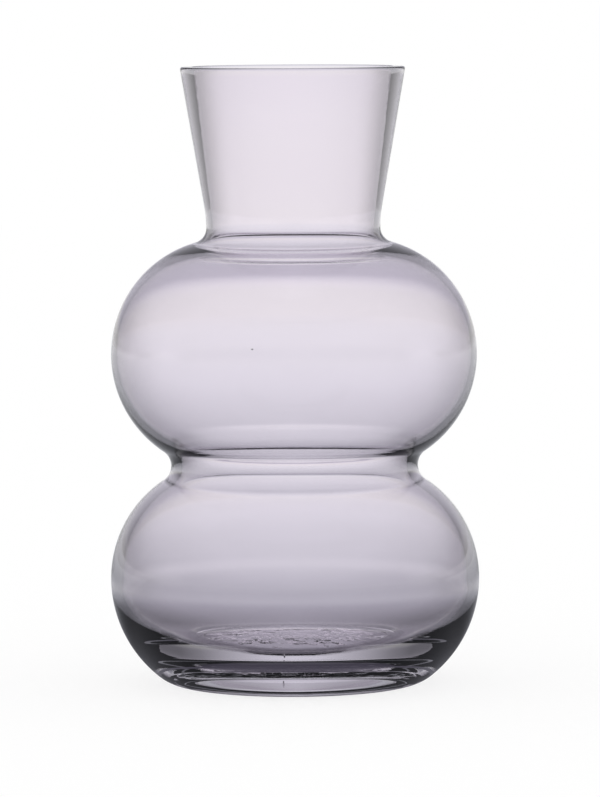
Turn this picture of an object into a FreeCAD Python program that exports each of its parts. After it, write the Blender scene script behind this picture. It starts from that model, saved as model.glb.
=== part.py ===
import FreeCAD, Part

import math
import os

# Double gourd vase of tinted clear glass, in millimetres.
# Two squashed round bulbs stand one on the other below a flared neck. The glass is one blown body,
# turned about Z. It is parted on level planes into the zones that a glass worker forms in turn.
# The origin is the centre of the foot, on the table, with +Z up.

# Outside of the body
overall_height = 250.0
lower_bulb_radius = 74.65
lower_bulb_height = 43.0
lower_crown_curve = 47.4
foot_roll = 16.7
waist_curve = 7.4
upper_bulb_radius = 74.0
upper_curve = 47.0
root_curve = 6.2
neck_root_radius = 35.2
rim_radius = 45.6
rim_roll = 1.0

# How far apart the bulbs' arcs are centred, of the two arcs' radii together
stack_share = 0.9624
# The arc under the lower bulb's widest height, of that height
under_share = 1.1686
# How gently the neck bends out of its root, of the neck's height
neck_bend_share = 0.75

# Thickness of the wall: at each bulb's widest height, where the upper bulb turns in above and below it,
# through the waist, where the bulb turns up into the neck, at the neck's narrowest and at the rim
lower_wall = 4.75
upper_wall = 2.2
upper_turn_wall = 4.3
waist_wall = 3.1
root_turn_wall = 3.3
neck_wall = 2.55
rim_wall = 5.45

# How far each bulb's hollow is centred above its outside
lower_lift = 0.9
upper_lift = 0.4

# Thick bottom: the dished floor inside with its low middle rise, the ring that stands on the table
# and the domed recess within that ring
well_curve = 27.6
floor_height = 13.2
floor_rise = 3.0
standing_ring = 2.2
recess_depth = 2.3

# Where the shoulder and the rim begin
shoulder_start_share = 0.7
rim_depth = 5.0
slab_overrun = 10.0

up = FreeCAD.Vector(0, 0, 1)


def point(radius, height):
    """A point of the half section, in the XZ plane."""
    return FreeCAD.Vector(radius, 0, height)


def on_circle(centre, radius, angle):
    """The point of a circle at an angle counted up from the outward direction."""
    return centre + point(radius * math.cos(angle), radius * math.sin(angle))


def heading(origin, target):
    """The angle of the line from one point to another."""
    way = target - origin
    return math.atan2(way.z, way.x)


def arc(centre, radius, start, end):
    """An arc of a circle from one angle to another."""
    angles = (start, (start + end) / 2, end)
    return Part.Arc(*[on_circle(centre, radius, angle) for angle in angles]).toShape()


def outer_meeting(centre_a, reach_a, centre_b, reach_b):
    """The point at given distances from two centres, on the side away from the axis."""
    span = centre_b - centre_a
    along = (reach_a ** 2 - reach_b ** 2 + span.Length ** 2) / (2 * span.Length)
    aside = math.sqrt(reach_a ** 2 - along ** 2)
    way = FreeCAD.Vector(span).normalize()
    return centre_a + way * along + point(way.z, -way.x) * aside


# Heights and arcs that follow from the sizes
lower_under_curve = under_share * lower_bulb_height
lower_under_centre = point(lower_bulb_radius - lower_under_curve, lower_bulb_height)
upper_bulb_height = lower_bulb_height + stack_share * (lower_crown_curve + upper_curve)


class WallFace:
    """One face of the wall, from the lower bulb's widest height up to the rim.

    The lower bulb, the upper bulb and the neck are each an arc, and a small arc joins each pair.
    """

    def __init__(self, lower, crown, upper, bulb, waist, neck, root, lip, lower_rise=0, upper_rise=0):
        """Take the radii of the bulbs, the neck and the lip, and the curves of the arcs between them."""
        self.crown, self.bulb, self.waist, self.root = crown, bulb, waist, root
        self.neck, self.lip = neck, lip
        self.crown_centre = point(lower - crown, lower_bulb_height + lower_rise)
        self.bulb_centre = point(upper - bulb, upper_bulb_height + upper_rise)
        self.waist_centre = outer_meeting(self.crown_centre, crown + waist, self.bulb_centre, bulb + waist)
        self.waist_start = heading(self.crown_centre, self.waist_centre)
        self.waist_end = heading(self.bulb_centre, self.waist_centre)
        out = neck + root - self.bulb_centre.x
        self.root_centre = self.bulb_centre + point(out, math.sqrt((bulb + root) ** 2 - out ** 2))

    def edges(self, bend):
        """The face's edges from the bottom up, with the curve that the neck bends out on."""
        root_start = heading(self.bulb_centre, self.root_centre)
        bend_centre = point(self.neck + bend, self.root_centre.z)
        corner = point(self.lip, overall_height)
        bend_end = heading(bend_centre, corner) + math.acos(bend / (corner - bend_centre).Length)
        return [
            arc(self.crown_centre, self.crown, 0, self.waist_start),
            arc(self.waist_centre, self.waist, self.waist_start + math.pi, self.waist_end + math.pi),
            arc(self.bulb_centre, self.bulb, self.waist_end, root_start),
            arc(self.root_centre, self.root, root_start + math.pi, math.pi),
            arc(bend_centre, bend, math.pi, bend_end),
            Part.makeLine(on_circle(bend_centre, bend, bend_end), corner),
        ]


outside = WallFace(
    lower_bulb_radius, lower_crown_curve, upper_bulb_radius, upper_curve,
    waist_curve, neck_root_radius, root_curve, rim_radius,
)
inside = WallFace(
    lower_bulb_radius - lower_wall, lower_crown_curve - lower_wall,
    upper_bulb_radius - upper_wall, upper_curve - upper_turn_wall,
    waist_curve + waist_wall, neck_root_radius - neck_wall, root_curve + root_turn_wall,
    rim_radius - rim_wall, lower_lift, upper_lift,
)
neck_bend = neck_bend_share * (overall_height - outside.root_centre.z)


def dome(edge_radius, edge_height, rise):
    """An arc that climbs from its edge to the axis."""
    radius = (edge_radius ** 2 + rise ** 2) / (2 * rise)
    centre = point(0, edge_height + rise - radius)
    return arc(centre, radius, heading(centre, point(edge_radius, edge_height)), math.pi / 2)


def underside():
    """The outside below the lower bulb's widest height, to the middle of the recess."""
    reach = lower_under_curve - foot_roll
    spread = math.sqrt(reach ** 2 - (lower_bulb_height - foot_roll) ** 2)
    foot_centre = point(lower_under_centre.x + spread, foot_roll)
    foot_start = heading(lower_under_centre, foot_centre)
    recess_radius = foot_centre.x - standing_ring
    return [
        arc(lower_under_centre, lower_under_curve, 0, foot_start),
        arc(foot_centre, foot_roll, foot_start, -math.pi / 2),
        Part.makeLine(point(foot_centre.x, 0), point(recess_radius, 0)),
        dome(recess_radius, 0, recess_depth),
    ]


def well():
    """The inside below the lower bulb's widest height, to the middle of the floor."""
    wall_radius = lower_bulb_radius - lower_wall
    curve_centre = point(wall_radius - well_curve, floor_height + well_curve)

    # The middle's dome leaves the curve where the two arcs share a tangent
    dome_radius = (curve_centre.x ** 2 + floor_rise ** 2) / (2 * floor_rise) - well_curve
    dome_centre = point(0, floor_height + floor_rise - dome_radius)
    turn = heading(dome_centre, curve_centre)
    return [
        Part.makeLine(point(wall_radius, inside.crown_centre.z), point(wall_radius, curve_centre.z)),
        arc(curve_centre, well_curve, 0, turn - math.pi),
        arc(dome_centre, dome_radius, turn, math.pi / 2),
    ]


def glass_body():
    """The whole blown body, turned from its half section, with the lip rounded."""
    walls = outside.edges(neck_bend) + inside.edges(neck_bend + root_turn_wall)
    lip = Part.makeLine(point(inside.lip, overall_height), point(outside.lip, overall_height))
    axis = Part.makeLine(point(0, recess_depth), point(0, floor_height + floor_rise))
    edges = walls + underside() + well() + [lip, axis]
    section = Part.Face(Part.Wire(Part.__sortEdges__(edges)))
    body = section.revolve(point(0, 0), up, 360)
    top_edges = [edge for edge in body.Edges if edge.BoundBox.ZMin > overall_height - rim_roll]
    return body.makeFillet(rim_roll, top_edges)


def zone_levels():
    """The heights of the planes that part the glass into its zones, with each zone's name."""
    crease = outside.waist_centre.z
    shoulder_height = shoulder_start_share * (outside.root_centre.z - upper_bulb_height)
    return [
        ("heavy_base", 0),
        ("lower_bulb", lower_bulb_height),
        ("waist", crease - waist_curve * math.sin(outside.waist_start)),
        ("upper_belly", crease - waist_curve * math.sin(outside.waist_end)),
        ("upper_crown", upper_bulb_height),
        ("shoulder", upper_bulb_height + shoulder_height),
        ("neck", outside.root_centre.z),
        ("rim", overall_height - rim_depth),
    ]


def part_zones(body):
    """Cut the body on its level planes, and give each zone its own solid."""
    levels = zone_levels()
    bottoms = [height for _, height in levels]
    tops = bottoms[1:] + [overall_height + slab_overrun]
    bottoms[0] = -slab_overrun
    slab_radius = max(lower_bulb_radius, upper_bulb_radius, rim_radius) + slab_overrun
    zones = {}
    for (name, _), bottom, top in zip(levels, bottoms, tops):
        slab = Part.makeCylinder(slab_radius, top - bottom, point(0, bottom))
        zones[name] = body.common(slab)
    return zones


body = glass_body()
os.makedirs("parts", exist_ok=True)
for name, zone in part_zones(body).items():
    print(name, "solids", len(zone.Solids), "volume", round(zone.Volume), "valid", zone.isValid())
    zone.Solids[0].exportStep("parts/" + name + ".step")
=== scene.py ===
import logging
import math
from dataclasses import dataclass, field
from enum import Enum
from typing import Union

import bpy
from mathutils import Matrix, Vector, noise


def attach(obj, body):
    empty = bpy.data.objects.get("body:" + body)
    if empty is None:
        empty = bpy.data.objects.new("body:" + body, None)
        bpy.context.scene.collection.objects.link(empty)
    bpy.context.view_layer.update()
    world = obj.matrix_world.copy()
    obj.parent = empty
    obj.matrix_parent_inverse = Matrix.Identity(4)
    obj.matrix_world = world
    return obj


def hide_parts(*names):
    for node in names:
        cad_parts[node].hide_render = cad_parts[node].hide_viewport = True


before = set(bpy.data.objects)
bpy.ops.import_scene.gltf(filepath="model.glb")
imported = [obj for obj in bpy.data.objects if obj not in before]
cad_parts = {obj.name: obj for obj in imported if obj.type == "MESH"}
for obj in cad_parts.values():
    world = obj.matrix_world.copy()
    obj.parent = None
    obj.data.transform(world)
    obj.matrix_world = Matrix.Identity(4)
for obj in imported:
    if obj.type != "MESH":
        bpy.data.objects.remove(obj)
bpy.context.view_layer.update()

# Double gourd vase of tinted clear glass, in metres. The origin is the centre of the foot, on the
# table, with +Z up, and the camera looks along +Y.

LOG = logging.getLogger("double_gourd_vase")

Point = tuple[float, float]
Colour = tuple[float, float, float]
Stop = tuple[float, Colour]
Spot = tuple[float, float, float]
Corners = tuple[int, ...]
Span = tuple[float, float]
Socket = bpy.types.NodeSocket
Source = Union[Socket, float, Colour]

# Degrees in half a turn
HALF_TURN = 180

# The colour sockets of a mix node: its first and second input, and its output
MIX_FIRST, MIX_SECOND, MIX_RESULT = 6, 7, 2

# Points of the section nearer to each other than this are one point
SAME_SPOT = 2e-6

# What counts as on the axis, or at the recess's height
HAIR = 1e-6


class Zone(Enum):
    """The zones that the glass worker forms, from the foot up."""

    HEAVY_BASE = "heavy_base"
    LOWER_BULB = "lower_bulb"
    WAIST = "waist"
    UPPER_BELLY = "upper_belly"
    UPPER_CROWN = "upper_crown"
    SHOULDER = "shoulder"
    NECK = "neck"
    RIM = "rim"


@dataclass(frozen=True)
class Steps:
    """How many steps each stretch of the half section is laid in."""

    crown: int = 34
    waist: int = 20
    bulb: int = 60
    root: int = 20
    bend: int = 12
    neck: int = 24
    lip: int = 6
    under: int = 32
    foot: int = 26
    ring: int = 8
    recess: int = 76
    well: int = 44
    floor: int = 30


STEPS = Steps()


class Face(Enum):
    """The two faces of the blown wall."""

    OUTSIDE = "outside"
    INSIDE = "inside"


def shifted(centre: Point, radius: float, angle: float) -> Point:
    """Find the point of a circle at an angle.

    Args:
        centre: Centre of the circle, as radius and height.
        radius: The circle's radius.
        angle: Angle counted up from the outward direction, in radians.

    Returns:
        The point, as radius and height.
    """
    return centre[0] + radius * math.cos(angle), centre[1] + radius * math.sin(angle)


def heading(origin: Point, target: Point) -> float:
    """Find the angle of the line from one point to another.

    Args:
        origin: Where the line starts.
        target: Where the line goes.

    Returns:
        The angle counted up from the outward direction, in radians.
    """
    return math.atan2(target[1] - origin[1], target[0] - origin[0])


def arc(centre: Point, radius: float, start: float, end: float, steps: int) -> list[Point]:
    """Lay points along an arc.

    Args:
        centre: Centre of the arc.
        radius: The arc's radius.
        start: Angle of the first point.
        end: Angle of the last point.
        steps: How many steps the arc is divided into.

    Returns:
        The points from start to end, both ends included.
    """
    return [shifted(centre, radius, start + (end - start) * i / steps) for i in range(steps + 1)]


def outer_meeting(centre_a: Point, reach_a: float, centre_b: Point, reach_b: float) -> Point:
    """Find the point at given distances from two centres, on the side away from the axis.

    Args:
        centre_a: The lower centre.
        reach_a: Distance from the lower centre.
        centre_b: The upper centre.
        reach_b: Distance from the upper centre.

    Returns:
        The meeting point.
    """
    run, rise = centre_b[0] - centre_a[0], centre_b[1] - centre_a[1]
    span = math.hypot(run, rise)
    along = (reach_a ** 2 - reach_b ** 2 + span ** 2) / (2 * span)
    aside = math.sqrt(reach_a ** 2 - along ** 2)
    return (
        centre_a[0] + (run * along + rise * aside) / span,
        centre_a[1] + (rise * along - run * aside) / span,
    )


def joined(*runs: list[Point]) -> list[Point]:
    """Join runs of points end to end and leave out the doubled ones.

    Args:
        runs: The runs, each starting where the one before it ends.

    Returns:
        One run of points.
    """
    line: list[Point] = []
    for run in runs:
        for spot in run:
            if not line or math.dist(spot, line[-1]) > SAME_SPOT:
                line.append(spot)
    return line


@dataclass(frozen=True)
class WallFace:
    """One face of the wall, from the lower bulb's widest height up to the rim.

    The lower bulb, the upper bulb and the neck are each an arc, and a small arc joins each pair.
    """

    crown_centre: Point
    crown: float
    bulb_centre: Point
    bulb: float
    waist: float
    neck: float
    root: float
    lip: float

    def root_centre(self) -> Point:
        """Give the centre of the arc that turns the upper bulb up into the neck.

        Returns:
            The centre, as radius and height.
        """
        out = self.neck + self.root - self.bulb_centre[0]
        rise = math.sqrt((self.bulb + self.root) ** 2 - out ** 2)
        return self.bulb_centre[0] + out, self.bulb_centre[1] + rise

    def points(self, height: float, bend: float) -> list[Point]:
        """Lay the face from the bottom up.

        Args:
            height: Height of the rim.
            bend: The curve that the neck bends out on.

        Returns:
            The face's points.
        """
        waist = outer_meeting(
            self.crown_centre, self.crown + self.waist, self.bulb_centre, self.bulb + self.waist
        )
        waist_start = heading(self.crown_centre, waist)
        waist_end = heading(self.bulb_centre, waist)
        root = self.root_centre()
        root_start = heading(self.bulb_centre, root)
        middle = (self.neck + bend, root[1])
        corner = (self.lip, height)
        bend_end = heading(middle, corner) + math.acos(bend / math.dist(middle, corner))
        top = shifted(middle, bend, bend_end)
        run, rise = corner[0] - top[0], corner[1] - top[1]
        straight = [
            (top[0] + run * i / STEPS.neck, top[1] + rise * i / STEPS.neck)
            for i in range(STEPS.neck + 1)
        ]
        return joined(
            arc(self.crown_centre, self.crown, 0, waist_start, STEPS.crown),
            arc(waist, self.waist, waist_start + math.pi, waist_end + math.pi, STEPS.waist),
            arc(self.bulb_centre, self.bulb, waist_end, root_start, STEPS.bulb),
            arc(root, self.root, root_start + math.pi, math.pi, STEPS.root),
            arc(middle, bend, math.pi, bend_end, STEPS.bend),
            straight,
        )


@dataclass(frozen=True)
class HalfSection:
    """The vase's half section: the line that is turned about the axis."""

    # Outside of the body
    height: float = 0.25
    lower_radius: float = 0.07465
    lower_height: float = 0.043
    lower_crown_curve: float = 0.0474
    foot_roll: float = 0.0167
    waist_curve: float = 0.0074
    upper_radius: float = 0.074
    upper_curve: float = 0.047
    root_curve: float = 0.0062
    neck_root_radius: float = 0.0352
    rim_radius: float = 0.0456
    rim_roll: float = 0.001

    # Shares: how far apart the bulbs' arcs are centred, of their radii together, the arc under the
    # lower bulb's widest height, of that height, and the neck's bend, of the neck's height
    stack_share: float = 0.9624
    under_share: float = 1.1686
    neck_bend_share: float = 0.75

    # Thickness of the wall, from the lower bulb up to the rim
    lower_wall: float = 0.00475
    upper_wall: float = 0.0022
    upper_turn_wall: float = 0.0043
    waist_wall: float = 0.0031
    root_turn_wall: float = 0.0033
    neck_wall: float = 0.00255
    rim_wall: float = 0.00545

    # How far each bulb's hollow is centred above its outside
    lower_lift: float = 0.0009
    upper_lift: float = 0.0004

    # Thick bottom: the dished floor inside, the ring it stands on and the domed recess within that
    well_curve: float = 0.0276
    floor_height: float = 0.0132
    floor_rise: float = 0.003
    standing_ring: float = 0.0022
    recess_depth: float = 0.0023

    def upper_height(self) -> float:
        """Give the height at which the upper bulb is widest."""
        return self.lower_height + self.stack_share * (self.lower_crown_curve + self.upper_curve)

    def under_curve(self) -> float:
        """Give the arc of the outside below the lower bulb's widest height."""
        return self.under_share * self.lower_height

    def under_centre(self) -> Point:
        """Give the centre of the arc below the lower bulb's widest height."""
        return self.lower_radius - self.under_curve(), self.lower_height

    def face(self, side: Face) -> WallFace:
        """Set up one face of the wall.

        Args:
            side: Which face.

        Returns:
            The face's arcs.
        """
        top = self.upper_height()
        crown_middle = self.lower_radius - self.lower_crown_curve
        if side is Face.OUTSIDE:
            return WallFace(
                crown_centre=(crown_middle, self.lower_height),
                crown=self.lower_crown_curve,
                bulb_centre=(self.upper_radius - self.upper_curve, top),
                bulb=self.upper_curve,
                waist=self.waist_curve,
                neck=self.neck_root_radius,
                root=self.root_curve,
                lip=self.rim_radius,
            )
        bulb = self.upper_curve - self.upper_turn_wall
        return WallFace(
            crown_centre=(crown_middle, self.lower_height + self.lower_lift),
            crown=self.lower_crown_curve - self.lower_wall,
            bulb_centre=(self.upper_radius - self.upper_wall - bulb, top + self.upper_lift),
            bulb=bulb,
            waist=self.waist_curve + self.waist_wall,
            neck=self.neck_root_radius - self.neck_wall,
            root=self.root_curve + self.root_turn_wall,
            lip=self.rim_radius - self.rim_wall,
        )

    def lip(self, outer: list[Point], inner: list[Point]) -> list[Point]:
        """Round the lip between the wall's two faces.

        Args:
            outer: The outside face, from the bottom up.
            inner: The inside face, from the bottom up.

        Returns:
            The outside face, the rounded lip and the inside face, as one run of points.
        """
        roll = self.rim_roll
        tilt_out = heading(outer[-2], outer[-1])
        tilt_in = heading(inner[-2], inner[-1])
        level = self.height - roll
        back_out = roll / math.tan((math.pi - tilt_out) / 2)
        back_in = roll / math.tan(tilt_in / 2)
        inner_radius = self.rim_radius - self.rim_wall
        centre_out = (self.rim_radius - roll / math.tan(tilt_out / 2), level)
        centre_in = (inner_radius + roll / math.tan((math.pi - tilt_in) / 2), level)
        foot_out = outer[-1][1] - back_out * math.sin(tilt_out)
        foot_in = inner[-1][1] - back_in * math.sin(tilt_in)
        below_out = [spot for spot in outer if spot[1] < min(foot_out, level)]
        below_in = [spot for spot in inner if spot[1] < min(foot_in, level)]
        return joined(
            below_out,
            arc(centre_out, roll, tilt_out - math.pi / 2, math.pi / 2, STEPS.lip),
            arc(centre_in, roll, math.pi / 2, tilt_in + math.pi / 2, STEPS.lip),
            list(reversed(below_in)),
        )

    def recess_radius(self) -> float:
        """Give the radius at which the recess starts inside the standing ring.

        Returns:
            The radius.
        """
        under = self.under_centre()
        reach = self.under_curve() - self.foot_roll
        drop = self.lower_height - self.foot_roll
        return under[0] + math.sqrt(reach ** 2 - drop ** 2) - self.standing_ring

    def underside(self) -> list[Point]:
        """Lay the outside from the lower bulb's widest height down to the middle of the recess.

        Returns:
            The points.
        """
        under = self.under_centre()
        recess = self.recess_radius()
        foot = (recess + self.standing_ring, self.foot_roll)
        turn = heading(under, foot)
        dome_curve = (recess ** 2 + self.recess_depth ** 2) / (2 * self.recess_depth)
        dome = (0.0, self.recess_depth - dome_curve)
        edge = heading(dome, (recess, 0.0))
        ring = [(foot[0] - self.standing_ring * i / STEPS.ring, 0.0) for i in range(STEPS.ring + 1)]
        return joined(
            arc(under, self.under_curve(), 0, turn, STEPS.under),
            arc(foot, self.foot_roll, turn, -math.pi / 2, STEPS.foot),
            ring,
            arc(dome, dome_curve, edge, math.pi / 2, STEPS.recess),
        )

    def well(self) -> list[Point]:
        """Lay the inside from the lower bulb's widest height down to the middle of the floor.

        Returns:
            The points.
        """
        face = self.lower_radius - self.lower_wall
        curve = (face - self.well_curve, self.floor_height + self.well_curve)
        rise = self.floor_rise
        dome_curve = (curve[0] ** 2 + rise ** 2) / (2 * rise) - self.well_curve
        dome = (0.0, self.floor_height + rise - dome_curve)
        turn = heading(dome, curve)
        return joined(
            [(face, self.lower_height + self.lower_lift), (face, curve[1])],
            arc(curve, self.well_curve, 0, turn - math.pi, STEPS.well),
            arc(dome, dome_curve, turn, math.pi / 2, STEPS.floor),
        )

    def loop(self) -> list[Point]:
        """Lay the whole section: from the recess out and up, over the lip and down inside.

        Returns:
            The points.
        """
        outside = self.face(Face.OUTSIDE)
        bend = self.neck_bend_share * (self.height - outside.root_centre()[1])
        outer = outside.points(self.height, bend)
        inner = self.face(Face.INSIDE).points(self.height, bend + self.root_turn_wall)
        return joined(list(reversed(self.underside())), self.lip(outer, inner), self.well())


class Wiring:
    """Short helpers that place and link nodes in one tree."""

    def __init__(self, tree: bpy.types.NodeTree) -> None:
        """Keep the tree that the nodes go into.

        Args:
            tree: A material's, world's or group's node tree.
        """
        self.tree = tree

    def node(self, kind: str, **options: object) -> bpy.types.Node:
        """Place a node and set its options.

        Args:
            kind: The node's type name.
            options: The node's own properties by name.

        Returns:
            The new node.
        """
        made = self.tree.nodes.new(kind)
        for name, value in options.items():
            setattr(made, name, value)
        return made

    def feed(self, socket: Socket, source: Source) -> None:
        """Link a socket to another one, or set its plain value.

        Args:
            socket: The input to feed.
            source: Another socket, a number or a colour.
        """
        if isinstance(source, Socket):
            self.tree.links.new(source, socket)
        elif isinstance(source, tuple):
            socket.default_value = (*source, 1.0)
        else:
            socket.default_value = source

    def maths(
        self, operation: str, first: Source, second: Source = 0.0, clamp: bool = False
    ) -> Socket:
        """Place a maths node.

        Args:
            operation: The node's operation.
            first: The first value or socket.
            second: The second value or socket.
            clamp: Whether the result is kept between 0 and 1.

        Returns:
            The result's socket.
        """
        made = self.node("ShaderNodeMath", operation=operation, use_clamp=clamp)
        self.feed(made.inputs[0], first)
        self.feed(made.inputs[1], second)
        return made.outputs[0]

    def ramp(self, value: Socket, stops: tuple[Stop, ...]) -> Socket:
        """Place a colour ramp.

        Args:
            value: The socket that picks a place on the ramp, from 0 to 1.
            stops: The places and their colours, in order.

        Returns:
            The colour's socket.
        """
        made = self.node("ShaderNodeValToRGB")
        band = made.color_ramp
        while len(band.elements) > 1:
            band.elements.remove(band.elements[-1])
        band.elements[0].position = stops[0][0]
        band.elements[0].color = (*stops[0][1], 1.0)
        for place, colour in stops[1:]:
            band.elements.new(place).color = (*colour, 1.0)
        self.tree.links.new(value, made.inputs[0])
        return made.outputs[0]

    def mix(self, kind: str, share: Source, first: Source, second: Source) -> Socket:
        """Place a colour mix.

        Args:
            kind: The way of mixing, such as MIX or MULTIPLY.
            share: How much of the second colour shows, from 0 to 1.
            first: The first colour or socket.
            second: The second colour or socket.

        Returns:
            The mixed colour's socket.
        """
        made = self.node("ShaderNodeMix", data_type="RGBA", blend_type=kind)
        self.feed(made.inputs[0], share)
        self.feed(made.inputs[MIX_FIRST], first)
        self.feed(made.inputs[MIX_SECOND], second)
        return made.outputs[MIX_RESULT]


@dataclass(frozen=True)
class Mottle:
    """A soft mottling for the glass's tint and skin, as a shader node group."""

    name: str = "soft_mottle"
    inputs: tuple[tuple[str, float], ...] = (("Scale", 20.0), ("Stretch", 1.0), ("Contrast", 1.0))
    outputs: tuple[str, ...] = ("Mask", "Height")
    detail: float = 2.0
    roughness: float = 0.45
    middle: float = 0.5

    def group(self) -> bpy.types.ShaderNodeTree:
        """Build the group once and give it back on each later call.

        Returns:
            The node group, with inputs Scale, Stretch and Contrast and outputs Mask and Height.
        """
        known = bpy.data.node_groups.get(self.name)
        if known is not None:
            return known
        tree = bpy.data.node_groups.new(self.name, "ShaderNodeTree")
        sockets = tree.interface
        for label, value in self.inputs:
            socket = sockets.new_socket(label, in_out="INPUT", socket_type="NodeSocketFloat")
            socket.default_value = value
        for label in self.outputs:
            sockets.new_socket(label, in_out="OUTPUT", socket_type="NodeSocketFloat")
        wires = Wiring(tree)
        given = wires.node("NodeGroupInput")
        put = wires.node("NodeGroupOutput")
        place = wires.node("ShaderNodeTexCoord")
        stretch = wires.node("ShaderNodeCombineXYZ")
        stretch.inputs[0].default_value = 1.0
        stretch.inputs[1].default_value = 1.0
        tree.links.new(given.outputs["Stretch"], stretch.inputs[2])
        scaled = wires.node("ShaderNodeVectorMath", operation="MULTIPLY")
        tree.links.new(place.outputs["Object"], scaled.inputs[0])
        tree.links.new(stretch.outputs[0], scaled.inputs[1])
        clouds = wires.node("ShaderNodeTexNoise", noise_dimensions="3D")
        clouds.inputs["Detail"].default_value = self.detail
        clouds.inputs["Roughness"].default_value = self.roughness
        tree.links.new(scaled.outputs[0], clouds.inputs["Vector"])
        tree.links.new(given.outputs["Scale"], clouds.inputs["Scale"])
        offset = wires.maths("SUBTRACT", clouds.outputs[0], self.middle)
        spread = wires.maths("MULTIPLY", offset, given.outputs["Contrast"])
        mask = wires.maths("ADD", spread, self.middle, clamp=True)
        tree.links.new(mask, put.inputs["Mask"])
        tree.links.new(clouds.outputs[0], put.inputs["Height"])
        return tree


@dataclass(frozen=True)
class MauveGlass:
    """Clear blown glass with a faint mauve tint and a fire-polished skin."""

    name: str = "mauve_glass"
    tint: Colour = (0.968, 0.935, 0.968)
    deeper_tint: Colour = (0.958, 0.922, 0.96)
    refraction: float = 1.495
    roughness: float = 0.0

    # Slow clouds between the two tints
    cloud_scale: float = 18.0
    cloud_stretch: float = 2.5
    cloud_contrast: float = 2.0

    # The barely visible ripple of the skin
    ripple: float = 0.012
    ripple_depth: float = 0.001
    ripple_scale: float = 55.0
    ripple_stretch: float = 3.0

    def build(self) -> bpy.types.Material:
        """Make the material.

        Returns:
            The glass material.
        """
        glass = bpy.data.materials.new(self.name)
        glass.use_nodes = True
        wires = Wiring(glass.node_tree)
        shader = glass.node_tree.nodes["Principled BSDF"]
        shader.inputs["Roughness"].default_value = self.roughness
        shader.inputs["IOR"].default_value = self.refraction
        shader.inputs["Transmission Weight"].default_value = 1.0
        clouds = wires.node("ShaderNodeGroup", node_tree=Mottle().group())
        clouds.inputs["Scale"].default_value = self.cloud_scale
        clouds.inputs["Stretch"].default_value = self.cloud_stretch
        clouds.inputs["Contrast"].default_value = self.cloud_contrast
        tint = wires.mix("MIX", clouds.outputs["Mask"], self.tint, self.deeper_tint)
        wires.feed(shader.inputs["Base Color"], tint)
        ripples = wires.node("ShaderNodeGroup", node_tree=Mottle().group())
        ripples.inputs["Scale"].default_value = self.ripple_scale
        ripples.inputs["Stretch"].default_value = self.ripple_stretch
        bump = wires.node("ShaderNodeBump")
        bump.inputs["Strength"].default_value = self.ripple
        bump.inputs["Distance"].default_value = self.ripple_depth
        wires.feed(bump.inputs["Height"], ripples.outputs["Height"])
        wires.feed(shader.inputs["Normal"], bump.outputs[0])
        return glass


@dataclass(frozen=True)
class Crumple:
    """The rough skin that the mould's bottom plate leaves in the recess, inside a shallow ring."""

    # The rough skin's reach and depth, and the size of its grain
    radius: float = 0.038
    depth: float = 0.00028
    grain: float = 0.0055

    # How the noise is taken: its squash along Y, its level, and how its layers grow finer
    squash: float = 0.7
    level: float = 0.37
    fineness: float = 0.9
    spacing: float = 2.1
    layers: int = 4

    # The step of the shallow ring round it
    ring_depth: float = 0.0005
    ring_width: float = 0.0014

    def lift(self, x: float, y: float) -> float:
        """Find how far the recess's skin is pushed up at one place.

        Args:
            x: Place along X.
            y: Place along Y.

        Returns:
            The push along Z, in metres.
        """
        away = math.hypot(x, y)
        inside = max(0.0, min(1.0, (self.radius - away) / self.ring_width))
        step = inside * inside * (3 - 2 * inside)
        spot = Vector((x / self.grain, self.squash * y / self.grain, self.level))
        rough = noise.fractal(
            spot, self.fineness, self.spacing, self.layers, noise_basis="PERLIN_ORIGINAL"
        )
        return step * (self.ring_depth + self.depth * rough)


@dataclass(frozen=True)
class Seed:
    """A small air bubble caught in the glass."""

    x: float
    y: float
    z: float
    width: float
    tallness: float

    def shell(self, rings: int = 8, sides: int = 12) -> tuple[list[Spot], list[Corners]]:
        """Lay the bubble's skin, facing into the bubble.

        Args:
            rings: How many bands it has from pole to pole.
            sides: How many faces go round it.

        Returns:
            The skin's points and its faces.
        """
        spots = [(self.x, self.y, self.z - self.tallness / 2)]
        for i in range(1, rings):
            rise = math.pi * i / rings
            girth = self.width / 2 * math.sin(rise)
            level = self.z - self.tallness / 2 * math.cos(rise)
            for k in range(sides):
                turn = 2 * math.pi * k / sides
                x, y = self.x + girth * math.cos(turn), self.y + girth * math.sin(turn)
                spots.append((x, y, level))
        spots.append((self.x, self.y, self.z + self.tallness / 2))
        last = len(spots) - 1
        faces: list[Corners] = []
        for k in range(sides):
            j = (k + 1) % sides
            faces.append((0, 1 + k, 1 + j))
            faces.append((last, last - sides + j, last - sides + k))
            for i in range(rings - 2):
                low, high = 1 + i * sides, 1 + (i + 1) * sides
                faces.append((low + k, high + k, high + j, low + j))
        return spots, faces


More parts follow.
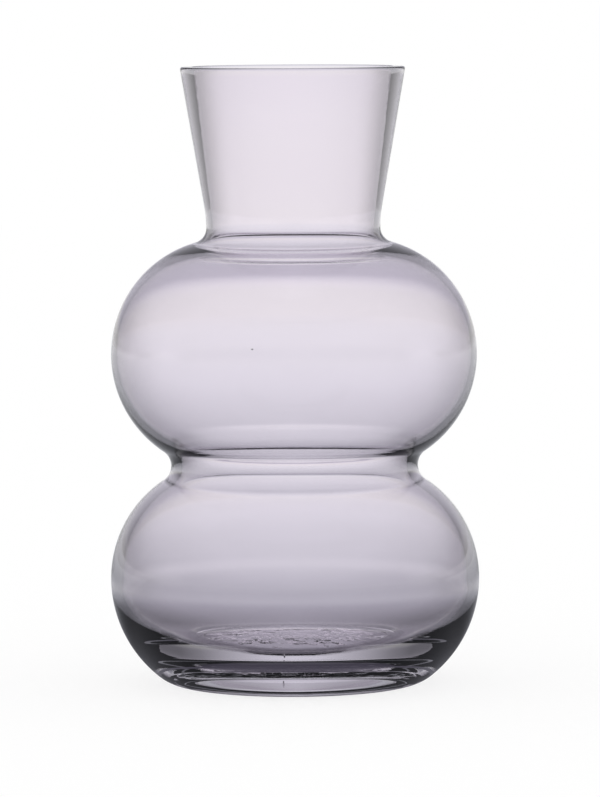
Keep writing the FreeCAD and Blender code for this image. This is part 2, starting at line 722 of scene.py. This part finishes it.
@dataclass
class BlownVase:
    """The one blown piece of glass: both bulbs, the waist, the neck and the heavy base."""

    section: HalfSection = field(default_factory=HalfSection)
    crumple: Crumple = field(default_factory=Crumple)
    finish: MauveGlass = field(default_factory=MauveGlass)
    seeds: tuple[Seed, ...] = (
        Seed(x=-0.0163, y=-0.0711, z=0.1405, width=0.0009, tallness=0.0005),
        Seed(x=-0.0047, y=-0.0556, z=0.0074, width=0.0006, tallness=0.0042),
    )
    segments: int = 168

    def placed(self, radius: float, height: float, turn: float) -> Spot:
        """Place one point of the turned section.

        Args:
            radius: Distance from the axis.
            height: Height over the table.
            turn: Angle round the axis, in radians.

        Returns:
            The point's place.
        """
        x, y = radius * math.cos(turn), radius * math.sin(turn)
        if height < self.section.recess_depth + HAIR and radius < self.crumple.radius:
            height += self.crumple.lift(x, y)
        return x, y, height

    def build(self) -> bpy.types.Object:
        """Turn the section about the axis and dress it.

        Returns:
            The glass object.
        """
        loop = self.section.loop()
        spots: list[Spot] = []
        rings: list[list[int]] = []
        for radius, height in loop:
            count = 1 if radius < HAIR else self.segments
            rings.append(list(range(len(spots), len(spots) + count)))
            spots += [
                self.placed(radius, height, 2 * math.pi * k / self.segments) for k in range(count)
            ]
        faces: list[Corners] = []
        for low, high in zip(rings, rings[1:]):
            for k in range(self.segments):
                j = (k + 1) % self.segments
                if len(low) == 1:
                    faces.append((low[0], high[j], high[k]))
                elif len(high) == 1:
                    faces.append((low[k], low[j], high[0]))
                else:
                    faces.append((low[k], low[j], high[j], high[k]))
        for seed in self.seeds:
            shell, sides = seed.shell()
            faces += [tuple(len(spots) + corner for corner in side) for side in sides]
            spots += shell
        mesh = bpy.data.meshes.new("blown_glass")
        mesh.from_pydata(spots, [], faces)
        mesh.validate()
        mesh.shade_smooth()
        mesh.materials.append(self.finish.build())
        piece = bpy.data.objects.new("blown_glass", mesh)
        bpy.context.scene.collection.objects.link(piece)
        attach(piece, "root")
        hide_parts(*[zone.value for zone in Zone])
        LOG.info("blown glass: %d points, %d faces", len(mesh.vertices), len(mesh.polygons))
        return piece


class Band(Enum):
    """Bands of the studio round the vase.

    Each is a row of stops: degrees off the backdrop's middle, and the brightness there.
    """

    NEAR = (
        (0, 1.0), (10, 0.95), (22, 0.85), (30, 0.72), (38, 0.58), (46, 0.48), (60, 0.4),
        (75, 0.42), (90, 0.55), (180, 0.6),
    )
    TABLE = (
        (0, 1.0), (5, 0.98), (11, 0.87), (18, 0.71), (26, 0.58), (34, 0.53), (44, 0.53),
        (60, 0.53), (76, 0.58), (90, 0.66), (104, 0.62), (125, 0.76), (150, 0.76), (180, 0.6),
    )
    LEVEL = (
        (0, 0.95), (5, 0.88), (10, 0.74), (16, 0.59), (24, 0.43), (34, 0.29), (46, 0.18),
        (58, 0.15), (72, 0.24), (84, 0.66), (96, 0.66), (108, 0.36), (125, 0.5), (180, 0.55),
    )
    SLANTED = (
        (0, 0.62), (8, 0.58), (16, 0.47), (24, 0.36), (34, 0.21), (44, 0.12), (54, 0.12),
        (66, 0.24), (76, 0.34), (90, 0.46), (104, 0.3), (130, 0.29), (180, 0.36),
    )
    OVERHEAD = (
        (0, 0.47), (15, 0.38), (30, 0.33), (60, 0.33), (100, 0.36), (180, 0.37),
    )


@dataclass(frozen=True)
class Studio:
    """The plain studio that the glass shows: bright walls with darker corners and a pale table."""

    # Half the table's width, and how much of its white is its own light
    reach: float = 4.0
    glow: float = 0.78
    white: Colour = (1.0, 1.0, 1.0)

    # Heights of a direction where one band of the walls passes into the next, and the walls' tint
    level_top: Span = (0.02, 0.09)
    slanted_top: Span = (0.14, 0.5)
    blue_rise: Span = (0.0, 0.09)
    blue: Colour = (1.02, 1.0, 1.12)

    # Distances where the table's near shading passes into the far one, and its front into the rest
    near_edge: Span = (0.14, 0.34)
    front_reach: Span = (0.1, 0.35)
    front_side: Span = (-0.03, 0.05)

    # The table's brightness by distance from the axis, behind the vase and before it: painted shade
    # that grows darker towards the vase, and before it a dark ring of painted shadow under the
    # vase's front
    table_painted_shade_rings: tuple[Stop, ...] = (
        (0.0, (0.27, 0.27, 0.31)), (0.06, (0.31, 0.31, 0.35)), (0.1, (0.35, 0.35, 0.395)),
        (0.16, (0.42, 0.425, 0.475)), (0.27, (0.58, 0.59, 0.64)), (0.5, (0.72, 0.73, 0.775)),
        (1.1, (0.85, 0.86, 0.90)), (2.7, (0.92, 0.93, 0.95)), (4.0, (0.95, 0.95, 0.955)),
    )
    # Painted shadow: the dark ring from 0.034 to 0.054 m is the vase's shadow painted on the table
    # before its foot
    front_painted_shadow_rings: tuple[Stop, ...] = (
        (0.0, (0.36, 0.36, 0.41)), (0.022, (0.34, 0.34, 0.39)), (0.034, (0.06, 0.055, 0.075)),
        (0.048, (0.05, 0.045, 0.065)), (0.054, (0.16, 0.16, 0.18)), (0.07, (0.2, 0.2, 0.23)),
        (0.16, (0.27, 0.27, 0.3)),
    )

    def around(self, wires: Wiring, band: Band, turn: Socket) -> Socket:
        """Shade one band of the studio by compass direction.

        Args:
            wires: Helpers of the tree that is being built.
            band: The band of the studio.
            turn: How far the direction is off the backdrop's middle, from 0 to 1 for half a turn.

        Returns:
            The brightness, as a colour socket.
        """
        return wires.ramp(turn, tuple((angle / HALF_TURN, (v, v, v)) for angle, v in band.value))

    def ringed(self, wires: Wiring, root: Socket, rings: tuple[Stop, ...]) -> Socket:
        """Shade the table by distance from the axis.

        Args:
            wires: Helpers of the tree that is being built.
            root: Square root of the distance's share of the table's reach.
            rings: The distances in metres, and the colours there.

        Returns:
            The colour's socket.
        """
        return wires.ramp(root, tuple((math.sqrt(away / self.reach), tone) for away, tone in rings))

    def turn_of(self, wires: Wiring, x: Socket, y: Socket) -> Socket:
        """Measure how far a direction is off the backdrop's middle.

        Args:
            wires: Helpers of the tree that is being built.
            x: The direction's X.
            y: The direction's Y.

        Returns:
            The turn, from 0 to 1 for half a turn.
        """
        return wires.maths("ABSOLUTE", wires.maths("DIVIDE", wires.maths("ARCTAN2", x, y), math.pi))

    def seen_through_glass(self, wires: Wiring) -> Socket:
        """Tell rays that the glass bends or mirrors to the eye from all others.

        Args:
            wires: Helpers of the tree that is being built.

        Returns:
            1 for such a ray, else 0.
        """
        rays = wires.node("ShaderNodeLightPath")
        mirrored, passed = rays.outputs["Is Glossy Ray"], rays.outputs["Is Transmission Ray"]
        bent = wires.maths("MAXIMUM", mirrored, passed)
        direct = wires.maths("SUBTRACT", 1.0, rays.outputs["Diffuse Depth"], clamp=True)
        return wires.maths("MULTIPLY", bent, direct)

    def step(self, wires: Wiring, value: Socket, span: Span) -> Socket:
        """Rise smoothly from 0 to 1 between two values.

        Args:
            wires: Helpers of the tree that is being built.
            value: The value that decides.
            span: Where the rise starts and ends.

        Returns:
            The share.
        """
        made = wires.node("ShaderNodeMapRange", interpolation_type="SMOOTHSTEP")
        wires.feed(made.inputs[0], value)
        made.inputs[1].default_value, made.inputs[2].default_value = span
        return made.outputs[0]

    def sky(self) -> bpy.types.World:
        """Make the world: a white backdrop, and for glass the studio's walls and ceiling.

        Returns:
            The world.
        """
        world = bpy.data.worlds.new("studio")
        world.use_nodes = True
        tree = world.node_tree
        tree.nodes.clear()
        wires = Wiring(tree)
        out = wires.node("ShaderNodeOutputWorld")
        light = wires.node("ShaderNodeBackground")
        tree.links.new(light.outputs[0], out.inputs[0])
        place = wires.node("ShaderNodeTexCoord")
        split = wires.node("ShaderNodeSeparateXYZ")
        tree.links.new(place.outputs["Generated"], split.inputs[0])
        x, y, z = split.outputs
        turn = self.turn_of(wires, x, y)
        level, slanted, overhead = (
            self.around(wires, band, turn) for band in (Band.LEVEL, Band.SLANTED, Band.OVERHEAD)
        )
        low = wires.mix("MIX", self.step(wires, z, self.level_top), level, slanted)
        room = wires.mix("MIX", self.step(wires, z, self.slanted_top), low, overhead)
        tint = wires.mix("MIX", self.step(wires, z, self.blue_rise), self.white, self.blue)
        room = wires.mix("MULTIPLY", 1.0, room, tint)
        shown = wires.mix("MIX", self.seen_through_glass(wires), self.white, room)
        wires.feed(light.inputs[0], shown)
        bpy.context.scene.world = world
        LOG.info("studio surroundings")
        return world

    def table(self) -> bpy.types.Object:
        """Make the plain white table that the vase stands on.

        Returns:
            The table's top.
        """
        half = self.reach
        mesh = bpy.data.meshes.new("table_top")
        corners = [(-half, -half, 0.0), (half, -half, 0.0), (half, half, 0.0), (-half, half, 0.0)]
        mesh.from_pydata(corners, [], [(0, 1, 2, 3)])
        mesh.materials.append(self.table_finish())
        piece = bpy.data.objects.new("table_top", mesh)
        bpy.context.scene.collection.objects.link(piece)
        LOG.info("table: %.1f m wide", 2 * half)
        return piece

    def table_finish(self) -> bpy.types.Material:
        """Make the table's finish: white with the vase's shadow, and for glass the lit table with
        painted shade and a painted shadow ring round the vase.

        Returns:
            The table's material.
        """
        white = bpy.data.materials.new("white_table")
        white.use_nodes = True
        tree = white.node_tree
        tree.nodes.clear()
        wires = Wiring(tree)
        out = wires.node("ShaderNodeOutputMaterial")
        matt = wires.node("ShaderNodeBsdfDiffuse")
        wires.feed(matt.inputs["Color"], self.white)
        lit = wires.node("ShaderNodeEmission")
        place = wires.node("ShaderNodeNewGeometry")
        split = wires.node("ShaderNodeSeparateXYZ")
        tree.links.new(place.outputs["Position"], split.inputs[0])
        x, y, _ = split.outputs
        square = wires.maths("ADD", wires.maths("MULTIPLY", x, x), wires.maths("MULTIPLY", y, y))
        away = wires.maths("SQRT", square)
        root = wires.maths("SQRT", wires.maths("DIVIDE", away, self.reach))
        # Painted shade: the table that glass shows glows darker towards the vase's foot
        rings = self.ringed(wires, root, self.table_painted_shade_rings)
        # Painted shadow: the dark ring before the vase's foot, for rays that glass bends or mirrors
        front = self.ringed(wires, root, self.front_painted_shadow_rings)
        turn = self.turn_of(wires, x, y)
        near, far = (self.around(wires, band, turn) for band in (Band.NEAR, Band.TABLE))
        shade = wires.mix("MIX", self.step(wires, away, self.near_edge), near, far)
        aside, afar = self.step(wires, y, self.front_side), self.step(wires, away, self.front_reach)
        behind = wires.maths("MAXIMUM", aside, afar)
        back = wires.mix("MULTIPLY", 1.0, rings, shade)
        wires.feed(lit.inputs[0], wires.mix("MIX", behind, front, back))
        bright = wires.node("ShaderNodeEmission")
        plain = wires.node("ShaderNodeMixShader")
        plain.inputs[0].default_value = self.glow
        tree.links.new(matt.outputs[0], plain.inputs[1])
        tree.links.new(bright.outputs[0], plain.inputs[2])
        both = wires.node("ShaderNodeMixShader")
        tree.links.new(self.seen_through_glass(wires), both.inputs[0])
        tree.links.new(plain.outputs[0], both.inputs[1])
        tree.links.new(lit.outputs[0], both.inputs[2])
        tree.links.new(both.outputs[0], out.inputs[0])
        return white


@dataclass(frozen=True)
class PhotoCamera:
    """The camera at the photograph's place, a little above the vase and looking slightly down."""

    distance: float = 2.3
    height: float = 0.2907
    aim: float = 0.1157
    roll: float = -0.3
    sensor: float = 36.0

    # The picture's width, the column of the vase's axis, and how many pixels a metre takes up there
    columns: int = 600
    axis_column: float = 294.2
    scale: float = 2470.0

    def build(self) -> bpy.types.Object:
        """Set up the camera and make it the scene's own.

        Returns:
            The camera object.
        """
        place = Vector((0.0, -self.distance, self.height))
        way = Vector((0.0, 0.0, self.aim)) - place
        lens = bpy.data.cameras.new("photo_camera")
        lens.sensor_fit = "HORIZONTAL"
        lens.sensor_width = self.sensor
        lens.lens = self.sensor * way.length * self.scale / self.columns
        lens.shift_x = (self.columns / 2 - self.axis_column) / self.columns
        camera = bpy.data.objects.new("photo_camera", lens)
        bpy.context.scene.collection.objects.link(camera)
        turned = way.normalized().to_track_quat("-Z", "Y").to_matrix().to_4x4()
        tilt = Matrix.Rotation(math.radians(self.roll), 4, "Z")
        camera.matrix_world = Matrix.Translation(place) @ turned @ tilt
        bpy.context.scene.camera = camera
        LOG.info("camera: %.2f m away, lens %.0f mm", way.length, lens.lens)
        return camera


def main() -> None:
    """Build the vase, the studio and the camera."""
    logging.basicConfig(level=logging.INFO, format="%(name)s %(message)s")
    bpy.context.scene.view_settings.view_transform = "Standard"
    BlownVase().build()
    studio = Studio()
    studio.table()
    studio.sky()
    PhotoCamera().build()


if __name__ == "__main__":
    main()
